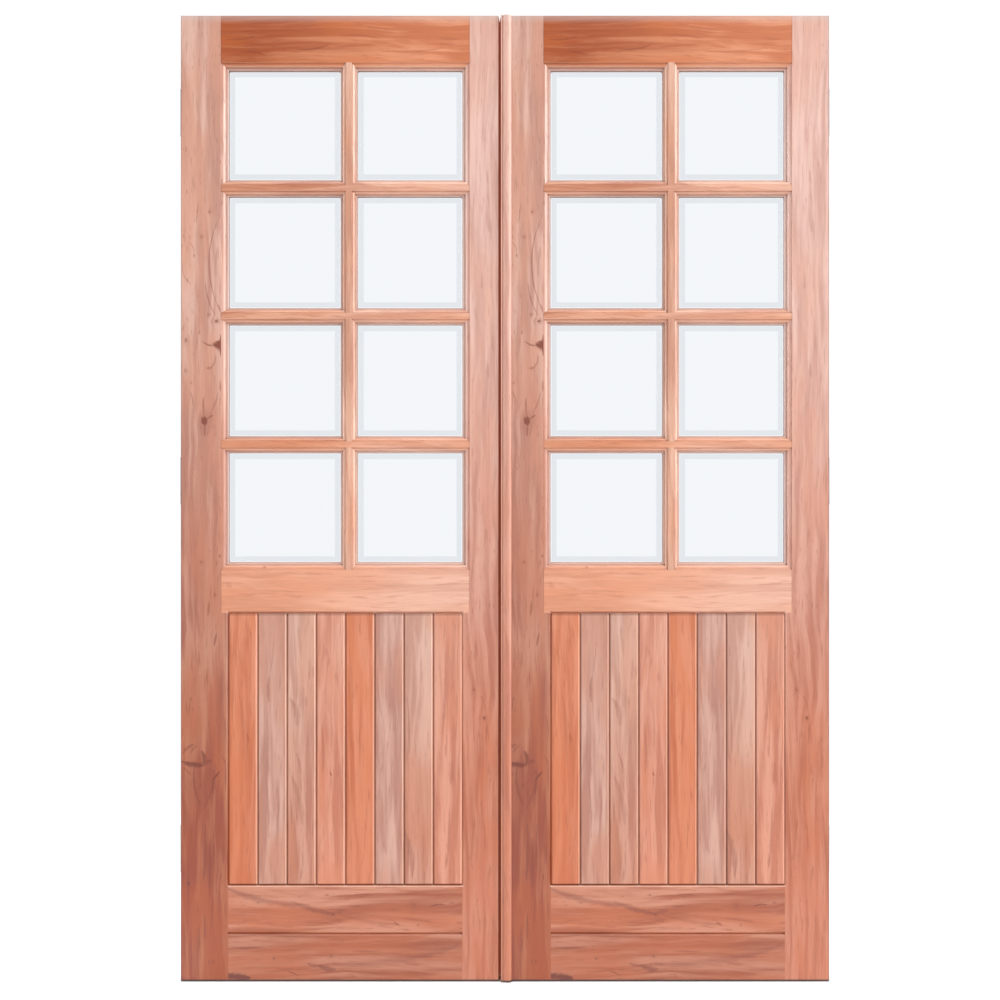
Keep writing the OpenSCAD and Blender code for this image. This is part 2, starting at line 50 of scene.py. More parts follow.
# The mouldings round the glazed field: their width, the depth of their fillet and of their lip
MOULD_W, FILLET_DEPTH, LIP_DEPTH = 0.0155, 0.0107, 0.0145
FIELD_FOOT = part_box("left_middle_rail")[1].z - MOULD_W
FIELD_HEAD = RAIL_LOW.z + MOULD_W
# The panel of boards, and halfway up the rail under it
PANEL_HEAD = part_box("left_middle_rail")[0].z
PANEL_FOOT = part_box("left_upper_bottom_rail")[1].z
PANEL_LEFT = 0.0175
UPPER_RAIL_MIDDLE = 0.150
# The quirk of the cover strip, in the right leaf's field
STRIP_QUIRK = -0.0862
PANE_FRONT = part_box("left_pane_1")[0].y
PANE_COUNT = 8

# Colours that timber is mixed towards: a painted highlight where it faces the light, a painted pale
# reflection on the moulding fillets, and a greyer tone at the leaf's top edge
PAINTED_LIGHT_TONE = (0.80, 0.47, 0.35, 1.0)
FILLET_REFLECTION_TONE = (0.60, 0.46, 0.42, 1.0)
TOP_EDGE_TONE = (0.50, 0.42, 0.39, 1.0)
# What timber is multiplied by at its dashes, flecks, knots and rail shoulders, and as painted shade
# at its foot, outer edge, V joints, board heads and feet, moulding rims, slit faces and narrow
# corners
DASH_TONE = (0.78, 0.68, 0.64, 1.0)
FLECK_TONE = (0.52, 0.42, 0.38, 1.0)
KNOT_TONE = (0.46, 0.235, 0.165, 1.0)
SHOULDER_TONE = (0.66, 0.56, 0.50, 1.0)
FOOT_SHADOW_TONE = (0.10, 0.06, 0.065, 1.0)
OUTER_EDGE_SHADE_TONE = (0.50, 0.50, 0.54, 1.0)
JOINT_SHADE_TONE = (0.62, 0.50, 0.44, 1.0)
BOARD_HEAD_SHADOW_TONE = (0.66, 0.58, 0.54, 1.0)
BOARD_FOOT_SHADOW_TONE = (0.42, 0.32, 0.27, 1.0)
RIM_SHADOW_TONE = (0.44, 0.32, 0.28, 1.0)
SLIT_SHADE_TONE = (0.80, 0.52, 0.42, 1.0)
CREVICE_SHADE_TONE = (0.31, 0.18, 0.13, 1.0)
# Painted shade: dark red-brown timber for the sheet in the slit between the leaves, from its dark
# to its light fibres
SLIT_SHADE_DARK, SLIT_SHADE_LIGHT = (0.50, 0.17, 0.09, 1.0), (0.64, 0.24, 0.13, 1.0)
# Painted glow, standing in for light that the leaves' meeting edges pass to each other
PAINTED_GLOW_TONE, PAINTED_GLOW_LEVEL = (1.0, 0.21, 0.08, 1.0), 0.085
# Tint of the glass at its ground bevel and elsewhere
BEVEL_TINT = (0.677, 0.717, 0.755, 1.0)
BODY_TINT = (0.915, 0.938, 0.968, 1.0)
PLATE_TONE, SCREW_TONE = (0.25, 0.245, 0.235, 1.0), (0.32, 0.31, 0.295, 1.0)

# Roughness of the oiled timber and of the cover strip, and how strongly both shine
TIMBER_ROUGH, STRIP_ROUGH, TIMBER_SPECULAR = 0.34, 0.50, 0.85
# From a screen colour to timber: what the gloss adds, and what the studio's light takes
HAZE, GAIN = 0.04, 0.72
# How far a piece's seed moves its grain along X, Y and Z
SEED_STEPS = (1.37, 0.71, 2.93)
FLOAT, COLOR, VECTOR = "NodeSocketFloat", "NodeSocketColor", "NodeSocketVector"


class Maker:
    """Short calls for building a node tree."""

    def __init__(self, tree):
        self.tree = tree
        self.tree.nodes.clear()

    def add(self, kind, settings=None, **inputs):
        """A node with its settings, and its inputs by name, with _ for a space."""
        node = self.tree.nodes.new(kind)
        for key, value in (settings or {}).items():
            setattr(node, key, value)
        for key, value in inputs.items():
            self.put(node.inputs[key.replace("_", " ")], value)
        return node

    def put(self, socket, value):
        """Links an output to a socket, or sets its value."""
        if isinstance(value, bpy.types.NodeSocket):
            self.tree.links.new(value, socket)
        else:
            socket.default_value = value

    def math(self, operation, a, b=0.0, clamp=False):
        node = self.add("ShaderNodeMath", {"operation": operation, "use_clamp": clamp})
        self.put(node.inputs[0], a)
        self.put(node.inputs[1], b)
        return node.outputs[0]

    def times(self, product, *factors):
        """The product of all the values."""
        for factor in factors:
            product = self.math("MULTIPLY", product, factor)
        return product

    def distance(self, value, middle):
        """How far a value lies from a middle, to either side."""
        return self.math("ABSOLUTE", self.math("SUBTRACT", value, middle))

    def vector(self, operation, a, b=(0.0, 0.0, 0.0)):
        node = self.add("ShaderNodeVectorMath", {"operation": operation})
        self.put(node.inputs[0], a)
        self.put(node.inputs[1], b)
        return node.outputs["Value" if operation in ("LENGTH", "DOT_PRODUCT") else "Vector"]

    def ramp(self, value, low, high, to_low=0.0, to_high=1.0, smooth=True):
        """Goes from to_low at low to to_high at high, and stays level beyond them."""
        node = self.add("ShaderNodeMapRange",
                        {"interpolation_type": "SMOOTHSTEP" if smooth else "LINEAR"},
                        Value=value, From_Min=low, From_Max=high, To_Min=to_low, To_Max=to_high)
        return node.outputs["Result"]

    def noise(self, place, scale, detail=2.0, roughness=0.5, distortion=0.0):
        """Noise with its own scale along X, Y and Z."""
        node = self.add("ShaderNodeTexNoise", None, Vector=self.vector("MULTIPLY", place, scale),
                        Scale=1.0, Detail=detail, Roughness=roughness, Distortion=distortion)
        return node.outputs["Fac"]

    def mix(self, factor, a, b, blend="MIX"):
        node = self.add("ShaderNodeMix", {"data_type": "RGBA", "blend_type": blend})
        self.put(node.inputs["Factor"], factor)
        self.put(node.inputs[6], a)
        self.put(node.inputs[7], b)
        return node.outputs[2]

    def tint(self, color, tone):
        """A colour multiplied by another."""
        return self.mix(1.0, color, tone, "MULTIPLY")

    def darken(self, color, factor, tone):
        """A colour, multiplied by a tone where factor is 1."""
        return self.mix(factor, color, self.tint(color, tone))

    def split(self, vector):
        node = self.add("ShaderNodeSeparateXYZ", None, Vector=vector)
        return node.outputs["X"], node.outputs["Y"], node.outputs["Z"]

    def join(self, x, y, z):
        return self.add("ShaderNodeCombineXYZ", None, X=x, Y=y, Z=z).outputs["Vector"]

    def triple(self, value):
        """A vector, or a grey, of one value."""
        return self.join(value, value, value)

    def place(self):
        """The place in the object's own space, so that a pattern moves with its piece."""
        return self.add("ShaderNodeTexCoord").outputs["Object"]

    def normal(self):
        """The surface normal in the object's own space."""
        normal = self.add("ShaderNodeNewGeometry").outputs["True Normal"]
        return self.add("ShaderNodeVectorTransform",
                        {"vector_type": "NORMAL", "convert_from": "WORLD",
                         "convert_to": "OBJECT"}, Vector=normal).outputs["Vector"]

    def openness(self, reach):
        """1 where nothing stands within reach of the surface, and less where something does."""
        return self.add("ShaderNodeAmbientOcclusion", {"samples": 6}, Distance=reach).outputs["AO"]

    def surface(self, shader):
        """Ends the tree with its shader."""
        self.add("ShaderNodeOutputMaterial", None, Surface=shader.outputs[0])


def new_material(name):
    """An empty material and the maker of its tree."""
    material = bpy.data.materials.new(name)
    material.use_nodes = True
    return material, Maker(material.node_tree)


def new_group(name, inputs, outputs):
    """An empty node group, the maker of its tree, and its inner inputs and outputs."""
    group = bpy.data.node_groups.new(name, "ShaderNodeTree")
    for socket, kind in inputs:
        group.interface.new_socket(socket, in_out="INPUT", socket_type=kind)
    for socket, kind in outputs:
        group.interface.new_socket(socket, in_out="OUTPUT", socket_type=kind)
    maker = Maker(group)
    return group, maker, maker.add("NodeGroupInput").outputs, maker.add("NodeGroupOutput").inputs


def timber_group():
    """Planed timber: the grain runs along Z of the Grain vector, in metres."""
    group, m, given, result = new_group(
        "planed_timber",
        [("Grain", VECTOR), ("Light", COLOR), ("Dark", COLOR), ("Warm", COLOR),
         ("Flecks", FLOAT), ("Sway", FLOAT)],
        [("Color", COLOR), ("Relief", FLOAT)])
    straight, dark = given["Grain"], given["Dark"]
    x, y, z = m.split(straight)
    bend = m.math("SUBTRACT", m.noise(straight, (7.0, 7.0, 2.6)), 0.5)
    bent = m.join(m.math("ADD", x, m.times(bend, given["Sway"])), y, z)
    # Noises from broad to fine, each drawn out along the grain
    patch = m.noise(straight, (16.0, 16.0, 4.0))
    cluster = m.noise(bent, (22.0, 22.0, 5.0), 1.0)
    figure = m.noise(bent, (50.0, 50.0, 3.2), 5.0, 0.58, 0.4)
    dashes = m.noise(bent, (190.0, 190.0, 17.0))
    ticks = m.noise(bent, (300.0, 300.0, 45.0), 1.0)
    fibre = m.noise(bent, (420.0, 420.0, 16.0), 3.0, 0.6)
    # Each pair of numbers is where on its noise a mark starts and where it is full
    base = m.mix(m.ramp(figure, 0.38, 0.61), dark, given["Light"])
    warmed = m.mix(m.ramp(patch, 0.45, 0.65, 0.0, 0.7), base, given["Warm"])
    lined = m.tint(warmed, m.triple(m.ramp(fibre, 0.3, 0.7, 0.93, 1.06, smooth=False)))
    dashed = m.mix(m.ramp(dashes, 0.58, 0.72, 0.0, 0.50), lined, m.tint(dark, DASH_TONE))
    fleck = m.times(m.ramp(ticks, 0.64, 0.74), m.ramp(cluster, 0.48, 0.62))
    m.put(result["Color"], m.mix(m.times(fleck, given["Flecks"]), dashed,
                                 m.tint(dark, FLECK_TONE)))
    m.put(result["Relief"], m.math("SUBTRACT", fibre, m.times(fleck, 0.5)))
    return group


def knot_group():
    """A knot: grain bends round it, and its heart is dark with a faint halo."""
    group, m, given, result = new_group(
        "knot",
        [("Grain", VECTOR), ("Centre", VECTOR), ("Radius", FLOAT), ("Length", FLOAT),
         ("Turn", FLOAT), ("Strength", FLOAT), ("Wobble", FLOAT), ("Mask", FLOAT)],
        [("Grain", VECTOR), ("Mask", FLOAT)])
    away = m.vector("SUBTRACT", given["Grain"], given["Centre"])
    turned = m.add("ShaderNodeVectorRotate", {"rotation_type": "Y_AXIS"}, Vector=away,
                   Angle=given["Turn"]).outputs["Vector"]
    across, _, along = m.split(turned)
    across = m.math("DIVIDE", across, given["Radius"])
    along = m.math("DIVIDE", along, m.times(given["Radius"], given["Length"]))
    # Distances count in radii of the knot
    distance = m.vector("LENGTH", m.join(across, 0.0, along))
    ragged = m.math("ADD", distance, given["Wobble"])
    heart = m.ramp(ragged, 1.05, 0.45)
    halo = m.ramp(ragged, 2.8, 0.9, 0.0, 0.22)
    near = m.math("POWER", math.e, m.times(distance, distance, -0.16))
    x, y, z = m.split(given["Grain"])
    pushed = m.math("SUBTRACT", x, m.times(m.split(away)[0], near, 0.75))
    m.put(result["Grain"], m.join(pushed, y, z))
    shown = m.times(m.math("MAXIMUM", heart, halo), given["Strength"])
    m.put(result["Mask"], m.math("MAXIMUM", given["Mask"], shown))
    return group


def stroke_group():
    """A dark line or smear of figure along Reach from Start, bowed to its side by Side."""
    group, m, given, result = new_group(
        "stroke",
        [("Grain", VECTOR), ("Start", VECTOR), ("Reach", VECTOR), ("Side", VECTOR),
         ("Width", FLOAT), ("Strength", FLOAT), ("Wobble", FLOAT), ("Mask", FLOAT)],
        [("Mask", FLOAT)])
    away = m.vector("MULTIPLY", m.vector("SUBTRACT", given["Grain"], given["Start"]),
                    (1.0, 0.0, 1.0))
    reach = given["Reach"]
    share = m.math("DIVIDE", m.vector("DOT_PRODUCT", away, reach),
                   m.vector("DOT_PRODUCT", reach, reach), clamp=True)
    # The swell is 0 at both ends of the stroke and 1 halfway
    swell = m.times(share, m.math("SUBTRACT", 1.0, share), 4.0)
    line = m.vector("ADD", m.vector("MULTIPLY", reach, m.triple(share)),
                    m.vector("MULTIPLY", given["Side"], m.triple(swell)))
    gap = m.math("DIVIDE", m.vector("LENGTH", m.vector("SUBTRACT", away, line)), given["Width"])
    taper = m.ramp(swell, 0.0, 1.0, 0.4, 1.0, smooth=False)
    far = m.math("ADD", m.math("DIVIDE", gap, taper), given["Wobble"])
    shown = m.times(m.ramp(far, 1.0, 0.15), given["Strength"])
    m.put(result["Mask"], m.math("MAXIMUM", given["Mask"], shown))
    return group


def srgb(r, g, b):
    """A colour given as 0-255 screen values, as linear light."""
    shares = [v / 255 for v in (r, g, b)]
    return [v / 12.92 if v <= 0.04045 else ((v + 0.055) / 1.055) ** 2.4 for v in shares]


def as_timber(r, g, b):
    """A screen colour as timber in this studio's light."""
    return (*[max(v - HAZE, 0.004) * GAIN for v in srgb(r, g, b)], 1.0)


def tones(r, g, b, spread=1.0):
    """Light, dark and warm timber round a mean screen colour."""
    light = as_timber(r + 12 * spread, g + 15 * spread, b + 15 * spread)
    dark = as_timber(r - 16 * spread, g - 20 * spread, b - 20 * spread)
    warm = as_timber(r + 3 * spread, g - 8 * spread, b - 15 * spread)
    return light, dark, warm


class Look:
    """What one timber piece looks like.

    near and far are its tones at the two ends of span, which lies along its grain in metres.
    Knots and strokes are in millimetres from the left quirk line and from the leaf's foot.
    """

    def __init__(self, near, far, span, seed, level=False, flecks=0.5, knots=(), strokes=(),
                 sway=0.05):
        self.near = near
        self.far = far
        self.span = span
        self.seed = seed
        self.level = level
        self.flecks = flecks
        self.knots = knots
        self.strokes = strokes
        self.sway = sway


class Spot:
    """A shaded point of a leaf: its place in the leaf's field, and its surface's slopes."""

    def __init__(self, m, field_x):
        self.place = m.vector("SUBTRACT", m.place(), (field_x, FRONT, 0.0))
        self.x, self.y, self.z = m.split(self.place)
        self.facing, _, self.rising = m.split(m.normal())
        self.off_middle = m.distance(self.x, FIELD_W / 2)


def in_grain(across, up, level):
    """A place on the leaf, in millimetres, as a grain vector in metres."""
    return (up / 1000, 0.0, across / 1000) if level else (across / 1000, 0.0, up / 1000)


def marked(m, straight, look):
    """The grain as it bends round a look's knots, and the mask of its knots and strokes."""
    ragged = m.noise(straight, (170.0, 170.0, 90.0))
    wobble = m.times(m.math("SUBTRACT", ragged, 0.5), 0.9)
    grain, mask = straight, 0.0
    for x, z, radius, length, turn, strength in look.knots:
        knot = m.add("ShaderNodeGroup", {"node_tree": KNOT}, Grain=grain,
                     Centre=in_grain(x, z, look.level), Radius=radius / 1000, Length=length,
                     Turn=math.radians(turn), Strength=strength, Wobble=wobble, Mask=mask)
        grain, mask = knot.outputs["Grain"], knot.outputs["Mask"]
    for x0, z0, x1, z1, bow, width, strength in look.strokes:
        start, end = Vector(in_grain(x0, z0, look.level)), Vector(in_grain(x1, z1, look.level))
        reach = end - start
        side = Vector((-reach.z, 0.0, reach.x)).normalized() * bow / 1000
        stroke = m.add("ShaderNodeGroup", {"node_tree": STROKE}, Grain=straight, Start=start,
                       Reach=reach, Side=side, Width=width / 1000, Strength=strength,
                       Wobble=wobble, Mask=mask)
        mask = stroke.outputs["Mask"]
    return grain, mask


def planed(m, spot, look):
    """A piece's colour with its knots and strokes, and the relief of its grain."""
    if look.level:
        run, grain = spot.x, m.join(spot.z, spot.y, spot.x)
    else:
        run, grain = spot.z, spot.place
    grain, mask = marked(m, grain, look)
    grain = m.vector("ADD", grain, [look.seed * step for step in SEED_STEPS])
    change = m.ramp(run, *look.span)
    light, dark, warm = [m.mix(change, a, b) for a, b in zip(look.near, look.far)]
    wood = m.add("ShaderNodeGroup", {"node_tree": TIMBER}, Grain=grain, Light=light, Dark=dark,
                 Warm=warm, Flecks=look.flecks, Sway=look.sway)
    color = wood.outputs["Color"]
    if look.knots or look.strokes:
        if not look.level:
            mask = m.times(mask, off_mouldings(m, spot))
        color = m.mix(mask, color, m.tint(dark, KNOT_TONE))
    return color, wood.outputs["Relief"]


def off_mouldings(m, spot):
    """1 on a stile's plain face, beside and below the glazed field, where its knots show."""
    beside = m.ramp(spot.off_middle, FIELD_W / 2 - 0.0006, FIELD_W / 2)
    return m.math("MAXIMUM", beside, m.ramp(spot.z, FIELD_FOOT - 0.006, FIELD_FOOT - 0.008))


def on_front(m, spot):
    """1 on the front half of a leaf."""
    return m.ramp(spot.y, MIDPLANE, MIDPLANE - 0.001)


def by_glass(m, spot):
    """1 on the lip in front of the panes, inside the glazed field's outermost quirk lines."""
    across = m.ramp(spot.off_middle, FIELD_W / 2 - 0.001, FIELD_W / 2 - 0.004)
    over_foot = m.ramp(spot.z, FIELD_FOOT - 0.001, FIELD_FOOT + 0.002)
    under_head = m.ramp(spot.z, FIELD_HEAD + 0.003, FIELD_HEAD)
    on_lip = m.ramp(spot.y, LIP_DEPTH + 0.0005, LIP_DEPTH + 0.0001)
    return m.times(across, over_foot, under_head, on_lip)


def ends_and_edges(m, spot, look, color, edge):
    """Dark lines at a rail's shoulders, painted shadow along the leaf's foot, painted shade along
    its outer edge, and a greyer tone at its head.
    """
    if look.level:
        shoulder = m.ramp(spot.off_middle, FIELD_W / 2 - 0.0022, FIELD_W / 2 - 0.0002)
        color = m.darken(color, shoulder, SHOULDER_TONE)
    # Painted shadow along the leaf's foot
    color = m.darken(color, m.ramp(spot.z, 0.0048, 0.0024), FOOT_SHADOW_TONE)
    # A greyer tone towards the leaf's top edge
    color = m.mix(m.ramp(spot.z, LEAF_H - 0.018, LEAF_H - 0.001, 0.0, 0.4), color, TOP_EDGE_TONE)
    # Painted shade along the hinge stile's outer edge
    if edge is not None:
        color = m.darken(color, m.ramp(m.distance(spot.x, edge), 0.0026, 0.0010), OUTER_EDGE_SHADE_TONE)
    return color


def panel_border(m, spot):
    """Less than 1 at the panel's left border, which the light reaches."""
    return m.ramp(spot.x, PANEL_LEFT + 0.0015, PANEL_LEFT + 0.0045, 0.40, 1.0)


def board_joints(m, spot, color):
    """Painted highlight on the lit side and painted shade on the unlit side of each V joint, and
    painted shade at a board's head and foot.
    """
    front = on_front(m, spot)
    lit = m.times(front, m.ramp(spot.facing, 0.55, 0.69, 0.0, 0.40))
    unlit = m.times(front, m.ramp(spot.facing, -0.55, -0.69), panel_border(m, spot))
    color = m.mix(lit, color, PAINTED_LIGHT_TONE)
    color = m.darken(color, unlit, JOINT_SHADE_TONE)
    head = m.ramp(spot.z, PANEL_HEAD - 0.0063, PANEL_HEAD - 0.0049)
    foot = m.ramp(spot.z, PANEL_FOOT + 0.0041, PANEL_FOOT + 0.0025)
    return m.darken(m.darken(color, head, BOARD_HEAD_SHADOW_TONE), foot, BOARD_FOOT_SHADOW_TONE)


def panel_sill(m, spot, color):
    """A painted highlight on the lit arris on top of the upper bottom rail, and a painted shade
    line along it.
    """
    lit = m.times(on_front(m, spot), m.ramp(spot.rising, 0.3, 0.6, 0.0, 0.30),
                  m.ramp(spot.z, UPPER_RAIL_MIDDLE, UPPER_RAIL_MIDDLE + 0.010))
    color = m.mix(lit, color, PAINTED_LIGHT_TONE)
    line = m.ramp(spot.z, PANEL_FOOT - 0.0017, PANEL_FOOT - 0.0005)
    return m.darken(color, line, JOINT_SHADE_TONE)


def mouldings(m, spot, color):
    """The mouldings round the panes: painted light on their undersides, a painted pale reflection
    on the fillet and a painted shadow at the rim.
    """
    glazed = by_glass(m, spot)
    under = m.ramp(spot.rising, -0.2, -0.6, 0.0, 0.35)
    fillet = m.ramp(spot.y, FILLET_DEPTH - 0.0012, FILLET_DEPTH - 0.0005, 0.0, 0.50)
    rim = m.ramp(spot.y, FILLET_DEPTH + 0.0006, FILLET_DEPTH + 0.0012)
    color = m.mix(m.times(glazed, under), color, PAINTED_LIGHT_TONE)
    color = m.mix(m.times(glazed, fillet), color, FILLET_REFLECTION_TONE)
    return m.darken(color, m.times(glazed, rim), RIM_SHADOW_TONE)


def crevice(m, spot, name):
    """Painted shade in a piece's narrow corners: 1 deep in them, and less where they are lit."""
    factor = m.times(m.ramp(m.openness(0.003), 0.66, 0.40),
                     m.ramp(spot.facing, 0.55, 0.69, 1.0, 0.45))
    if "board" in name:
        factor = m.times(factor, panel_border(m, spot))
    elif "stile" in name:
        border = m.times(m.ramp(m.distance(spot.x, PANEL_LEFT), 0.0050, 0.0030),
                         m.ramp(spot.z, PANEL_HEAD, PANEL_HEAD - 0.002))
        factor = m.times(factor, m.ramp(border, 0.0, 1.0, 1.0, 0.4))
    return factor


def slit_faces(m, spot):
    """1 on the sides of a meeting stile, which face the slit between the leaves."""
    return m.ramp(m.math("ABSOLUTE", spot.facing), 0.9, 0.98)


def in_slit(m):
    """1 where the other leaf's edge is close, as it is with both leaves shut."""
    return m.ramp(m.openness(0.012), 0.85, 0.55)


def glow(m, shader, factor):
    """Painted red glow, standing in for light that the two timber edges pass to each other many
    times over in the slit.
    """
    m.put(shader.inputs["Emission Color"], PAINTED_GLOW_TONE)
    m.put(shader.inputs["Emission Strength"], m.times(factor, PAINTED_GLOW_LEVEL))


def shaded(m, spot, name, color):
    """A piece's colour with painted light and shade of its own forms."""
    if "cover_strip" in name:
        # Painted highlight that lightens the shade in the cover strip's quirk
        quirk = m.ramp(m.distance(spot.x, STRIP_QUIRK), 0.0016, 0.0008, 0.0, 0.5)
        return m.mix(quirk, color, PAINTED_LIGHT_TONE)
    if "board" in name:
        color = board_joints(m, spot, color)
    elif "bottom_rail" in name:
        color = panel_sill(m, spot, color)
    else:
        color = mouldings(m, spot, color)
    corners = crevice(m, spot, name)
    if "meeting" in name:
        # Painted shade on the faces of the slit between the leaves, in place of the corners'
        # painted shade
        slit = slit_faces(m, spot)
        color = m.darken(color, slit, SLIT_SHADE_TONE)
        corners = m.times(corners, m.math("SUBTRACT", 1.0, slit))
    return m.darken(color, corners, CREVICE_SHADE_TONE)


def timber(name, look, field_x, edge=None):
    """The material of one piece, with its marks in the leaf's own place."""
    material, m = new_material(name + "_timber")
    spot = Spot(m, field_x)
    color, relief = planed(m, spot, look)
    color = shaded(m, spot, name, ends_and_edges(m, spot, look, color, edge))
    bump = m.add("ShaderNodeBump", None, Strength=0.2, Distance=0.0003, Height=relief)
    shader = m.add("ShaderNodeBsdfPrincipled", None, Base_Color=color, Normal=bump.outputs[0],
                   Roughness=STRIP_ROUGH if "cover_strip" in name else TIMBER_ROUGH)
    shader.inputs["Specular IOR Level"].default_value = TIMBER_SPECULAR
    if "meeting" in name:
        # Painted glow, and rougher timber, where the slit faces stand close to the other leaf
        close = m.times(slit_faces(m, spot), in_slit(m))
        glow(m, shader, close)
        m.put(shader.inputs["Roughness"],
              m.ramp(close, 0.0, 1.0, TIMBER_ROUGH, 1.0, smooth=False))
    m.surface(shader)
    return material


def slit_shade_timber():
    """Dark red-brown timber for the sheet in the slit, as painted shade, with a painted glow."""
    material, m = new_material("slit_shade_sheet")
    color = m.mix(m.noise(m.place(), (400.0, 400.0, 9.0), 3.0), SLIT_SHADE_DARK, SLIT_SHADE_LIGHT)
    shader = m.add("ShaderNodeBsdfPrincipled", None, Base_Color=color, Roughness=0.6)
    glow(m, shader, in_slit(m))
    m.surface(shader)
    return material


def glass():
    """Clear float glass, with a ground bevel that is a little greyer, and painted highlight lines
    along the bevel's edges.
    """
    material, m = new_material("pane_glass")
    flat = m.ramp(m.math("ABSOLUTE", m.split(m.normal())[1]), 0.985, 0.999)
    # How far down its bevel the glass is, from 0 at the pane's flat front to 1 at its rim
    fall = m.ramp(m.split(m.place())[1], PANE_FRONT, FRONT + LIP_DEPTH, smooth=False)
    # Painted highlight lines: the bevel is left clear next to its rim and next to the flat front
    outer = m.ramp(fall, 0.84, 0.90)
    inner = m.ramp(fall, 0.12, 0.04, 0.0, 0.6)
    clear = m.math("MAXIMUM", flat, m.math("MAXIMUM", outer, inner))
    shader = m.add("ShaderNodeBsdfPrincipled", None,
                   Base_Color=m.mix(clear, BEVEL_TINT, BODY_TINT), Roughness=0.0)
    shader.inputs["IOR"].default_value = 1.5
    shader.inputs["Transmission Weight"].default_value = 1.0
    m.surface(shader)
    return material


def steel(name, tone, roughness):
    """Satin plated steel with a faint brushed grain and a slightly cloudy tone."""
    material, m = new_material(name)
    place = m.place()
    brushed = m.noise(place, (900.0, 900.0, 60.0))
    cloud = m.noise(place, (60.0, 60.0, 60.0))
    cloudy = [v * 0.86 for v in tone[:3]] + [1.0]
    rough = m.ramp(brushed, 0.2, 0.8, roughness - 0.07, roughness + 0.08, smooth=False)
    bump = m.add("ShaderNodeBump", None, Strength=0.15, Distance=0.0002, Height=brushed)
    shader = m.add("ShaderNodeBsdfPrincipled", None,
                   Base_Color=m.mix(m.ramp(cloud, 0.35, 0.65), tone, cloudy), Roughness=rough,
                   Metallic=1.0, Normal=bump.outputs[0])
    m.surface(shader)
    return material


# Mean screen tones at the head or the left end of each piece, and at its other end. The darkening
# towards the foot and the rails' lightening to the right are partly the timber's own tone and
# partly painted shade and light
STILE = tones(226, 177, 160), tones(174, 100, 69)
LIGHT_STILE = tones(238, 194, 181, 0.9), tones(203, 129, 103, 0.9)
TOP_RAIL = tones(198, 117, 79, 1.2), tones(232, 151, 113)
MIDDLE_RAIL = tones(237, 169, 139, 0.6), tones(242, 188, 166, 0.6)
UPPER_BOTTOM_RAIL = (tones(195, 125, 99, 1.4),) * 2
LOWER_BOTTOM_RAIL = (tones(185, 115, 90, 1.2),) * 2
UPRIGHT = (tones(235, 182, 158, 1.2),) * 2
CROSS_BARS = tones(225, 160, 131, 1.2), tones(240, 184, 160, 1.2)
STRIP = tones(232, 182, 166, 0.7), tones(206, 134, 108, 0.7)
ORANGE_BOARD = tones(221, 141, 109, 0.7), tones(212, 128, 94, 0.8)
GREY_BOARD = tones(209, 162, 148, 1.0), tones(205, 154, 137, 1.1)
PALE_BOARD = tones(220, 174, 157, 0.8), tones(202, 141, 119, 1.0)
PINK_BOARD = tones(220, 156, 134, 1.0), tones(217, 146, 121, 0.9)
BOARDS = (ORANGE_BOARD, GREY_BOARD, PALE_BOARD, PINK_BOARD)
BOARD_COUNT = 8

# Knots and strokes are placed one by one. A knot: x, z, radius, length against width, turn in
# degrees, strength
STILE_KNOTS = (
    (-24, 1619, 2.6, 1.3, 0, 0.75), (-41, 1567, 2.4, 1.5, 0, 0.65),
    (-56, 1527, 2.2, 1.4, 0, 0.65), (-9.5, 1389, 5.5, 0.6, 0, 0.9),
    (-25.5, 1403, 2.2, 1.0, 0, 0.8), (-46, 1365, 2.0, 1.0, 0, 0.7),
    (-73.5, 1349, 4.0, 1.6, 0, 0.55), (-74.5, 1285, 4.0, 1.4, 0, 0.4),
    (-63, 1259, 2.2, 1.3, 0, 0.5), (-34.5, 1179, 9.0, 1.5, 0, 0.95),
    (-2.5, 895, 2.2, 1.2, 0, 0.8), (-41, 882, 2.2, 1.2, 0, 0.7),
    (-12.5, 813, 2.0, 1.6, 0, 0.7), (-63, 594, 2.2, 1.3, 0, 0.65),
    (-76, 489, 2.2, 1.2, 0, 0.6), (-68, 206, 3.2, 2.2, 0, 0.85),
    (-33, 102, 2.2, 1.3, 0, 0.6), (-16, 41, 2.0, 1.3, 0, 0.6))
